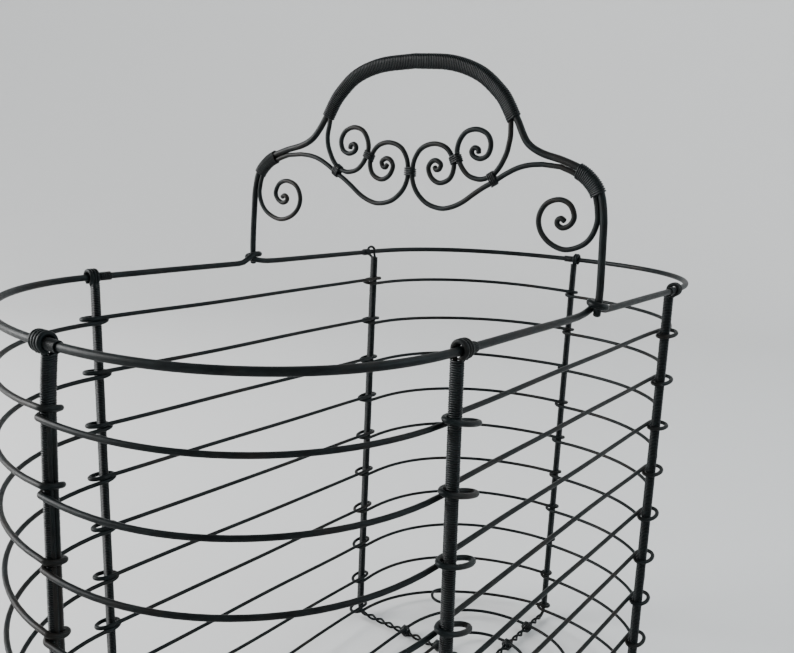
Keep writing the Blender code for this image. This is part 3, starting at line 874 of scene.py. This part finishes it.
def make_handle():
    """The frame, the two large scrolls and the scroll wire that runs inside the grip."""
    right, left = stand(FRAME_LINE), stand(FRAME_LINE, -1)
    path = np.concatenate([right, left[-2::-1]])
    piece("handle_frame", [sweep(path, HANDLE_R, sides=HEAVY_SIDES)], HEAVY)
    beside = frame_stretch(*SHOULDER, TOUCHING)
    # The spiral's curve is led on to the shoulder's points, and cut where it has joined them
    spiral = smooth([*SPIRAL_POINTS[::-1], *beside[::STEPS]], SCROLL_STEPS)[:-4 * SCROLL_STEPS]
    flat = np.concatenate([spiral, beside[4::4], smooth(HEART_POINTS, SCROLL_STEPS)])
    for node, side in (("right_large_scroll", 1), ("left_large_scroll", -1)):
        piece(node, [sweep(stand(flat, side), SCROLL_R)], THIN)
    half = np.concatenate([frame_stretch(*GRIP, TOUCHING)[::-1],
                           smooth(SMALL_SCROLL_POINTS, SCROLL_STEPS)])
    path = np.concatenate([stand(half, -1)[:0:-1], stand(half)])
    piece("inner_scroll_wire", [sweep(path, SCROLL_R)], THIN)


# The distance between threads in the handle's bindings and ties
HANDLE_PITCH = 0.93


def inward_ways(first, last, side=1):
    """The way from the frame to the inside of the handle, at each point of a stretch."""
    ways = frame_stretch(first, last, 1.0) - frame_stretch(first, last)
    return np.stack([side * ways[:, 0], 0 * ways[:, 0], ways[:, 1]], 1)


def make_handle_bindings():
    pair = ((0, 0, HANDLE_R), (TOUCHING, 0, SCROLL_R))
    grip = frame_stretch(*GRIP)
    path = np.concatenate([stand(grip), stand(grip, -1)[-2::-1]])
    across = np.concatenate([inward_ways(*GRIP), inward_ways(*GRIP, -1)[-2::-1]])
    wound = wind(path, across, pair, HANDLE_PITCH, per_turn=20, sides=8, seed=31.0)
    piece("grip_binding", [wound], BOUND)
    band = frame_stretch(*SHOULDER_BAND)
    for node, side in (("right_shoulder_binding", 1), ("left_shoulder_binding", -1)):
        across = inward_ways(*SHOULDER_BAND, side)
        wound = wind(stand(band, side), across, pair, HANDLE_PITCH, per_turn=24, sides=8,
                     seed=33.0 + side)
        piece(node, [wound], BOUND)


# The ties of the right half: name, place, the way the wires run there, and half the distance
# between their axes
TIES = (
    ("centre_tie", (0.0, 54.0), (0, 1), 1.35),
    ("inner_tie", (25.3, 60.7), (-0.42, 0.91), 1.4),
    ("cross_tie", (45.5, 52.8), (0.87, 0.5), 1.42),
)
TIE_HALF_LENGTH = 1.85
TIE_SLACK = 0.08


def make_ties():
    """Short coils that hold two scroll wires together where they touch."""
    for name, (x, z), (run_x, run_z), half in TIES:
        pair = ((half, 0, SCROLL_R), (-half, 0, SCROLL_R))
        for side in (1, -1) if x else (1,):
            word = {1: "right_", -1: "left_"}[side] if x else ""
            spot = stand([(x, z)], side)[0]
            run = np.array((side * run_x, 0.0, run_z))
            across = np.array((run[2], 0.0, -run[0]))
            steps = np.linspace(-TIE_HALF_LENGTH, TIE_HALF_LENGTH, 10)
            path = [spot + run * step for step in steps]
            wound = wind(path, across, pair, HANDLE_PITCH, per_turn=24, sides=8,
                         seed=40 + x + side, slack=TIE_SLACK)
            piece(word + name, [wound], BOUND)


# Surroundings

# The studio sweep, in metres: how far it reaches, the radius of its bend, and its height
SWEEP_REACH, SWEEP_BEND, SWEEP_HEIGHT = 2.3, 0.9, 2.2
SWEEP_SIDES = 96
SWEEP_COLOUR = (0.74, 0.74, 0.735, 1.0)
ROOM_COLOUR = (0.47, 0.47, 0.475, 1.0)


def sweep_profile():
    """Distance and height of the floor, its bend and the wall, from the middle outwards."""
    flat = SWEEP_REACH - SWEEP_BEND
    line = [(share * flat, 0.0) for share in (0.0, 0.25, 0.5, 0.75)]
    for step in range(17):
        angle = math.radians(90 * step / 16)
        line.append((flat + SWEEP_BEND * math.sin(angle), SWEEP_BEND * (1 - math.cos(angle))))
    return [*line, (SWEEP_REACH, SWEEP_HEIGHT)]


def make_stage():
    """A round studio sweep: a pale floor that curves up into a wall, open above."""
    line = sweep_profile()
    points, faces = [(0.0, 0.0, 0.0)], []
    for radius, z in line[1:]:
        for step in range(SWEEP_SIDES):
            angle = 2 * math.pi * step / SWEEP_SIDES
            points.append((radius * math.cos(angle), radius * math.sin(angle), z))
    for step in range(SWEEP_SIDES):
        after = (step + 1) % SWEEP_SIDES
        faces.append((0, 1 + step, 1 + after))
        for ring in range(len(line) - 2):
            here = 1 + ring * SWEEP_SIDES
            there = here + SWEEP_SIDES
            faces.append((here + step, there + step, there + after, here + after))
    mesh = bpy.data.meshes.new("floor")
    mesh.from_pydata(points, [], faces)
    mesh.shade_smooth()
    floor = bpy.data.objects.new("floor", mesh)
    bpy.context.scene.collection.objects.link(floor)
    made = bpy.data.materials.new("pale_floor")
    made.use_nodes = True
    shader = made.node_tree.nodes["Principled BSDF"]
    shader.inputs["Base Color"].default_value = SWEEP_COLOUR
    shader.inputs["Roughness"].default_value = 0.9
    shader.inputs["Specular IOR Level"].default_value = 0.1
    floor.data.materials.append(made)


def make_room():
    """The even grey light that comes from all round."""
    world = bpy.data.worlds.new("room")
    world.use_nodes = True
    background = world.node_tree.nodes["Background"]
    background.inputs["Color"].default_value = ROOM_COLOUR
    background.inputs["Strength"].default_value = 1.0
    bpy.context.scene.world = world


def area_light(name, place, target, size, power, colour=(1.0, 1.0, 1.0)):
    """A soft light that faces its target, in metres and watts."""
    data = bpy.data.lights.new(name, "AREA")
    data.shape = "RECTANGLE"
    data.size, data.size_y = size
    data.energy = power
    data.color = colour
    light = bpy.data.objects.new(name, data)
    light.location = place
    light.rotation_euler = (Vector(target) - Vector(place)).to_track_quat("-Z", "Y").to_euler()
    bpy.context.scene.collection.objects.link(light)


# The camera: where it looks, in degrees, its lens and its place, from the rim's level
CAMERA_AZIMUTH, CAMERA_ELEVATION, CAMERA_ROLL = 36.36, 11.25, 2.66
CAMERA_LENS = 37.19
CAMERA_PLACE = (0.2347, -0.3203, RIM_Z * MM + 0.0577)


def make_camera():
    """The camera looks over the front right corner, from just above the rim."""
    azimuth, elevation, roll = [
        math.radians(angle) for angle in (CAMERA_AZIMUTH, CAMERA_ELEVATION, CAMERA_ROLL)
    ]
    level = math.cos(elevation)
    ahead = Vector((-math.sin(azimuth) * level, math.cos(azimuth) * level, -math.sin(elevation)))
    right = Vector((math.cos(azimuth), math.sin(azimuth), 0))
    above = right.cross(ahead)
    turned = right * math.cos(roll) + above * math.sin(roll)
    above = above * math.cos(roll) - right * math.sin(roll)
    data = bpy.data.cameras.new("camera")
    data.sensor_width = 36
    data.lens = CAMERA_LENS
    data.clip_start, data.clip_end = 0.02, 60
    camera = bpy.data.objects.new("camera", data)
    axes = Matrix((turned, above, -ahead)).transposed().to_4x4()
    camera.matrix_world = Matrix.Translation(CAMERA_PLACE) @ axes
    bpy.context.scene.collection.objects.link(camera)
    bpy.context.scene.camera = camera


make_camera()
make_stage()
make_room()
area_light("window", (-1.3, -0.95, 0.75), (0, 0, 0.2), size=(0.8, 1.0), power=50)
area_light("sky", (1.5, 0.7, 1.2), (0, 0.1, 0.3), size=(1.3, 1.3), power=15,
           colour=(0.72, 0.9, 1.0))
area_light("overhead", (0.3, 1.1, 2.0), (0, 1.2, 0.6), size=(1.4, 1.4), power=10)
make_whole_rim()
make_rungs()
make_base_ring()
make_inner_rings()
make_frame_wires()
make_upright_bindings()
make_rim_collars()
make_lashings()
make_handle()
make_handle_bindings()
make_ties()
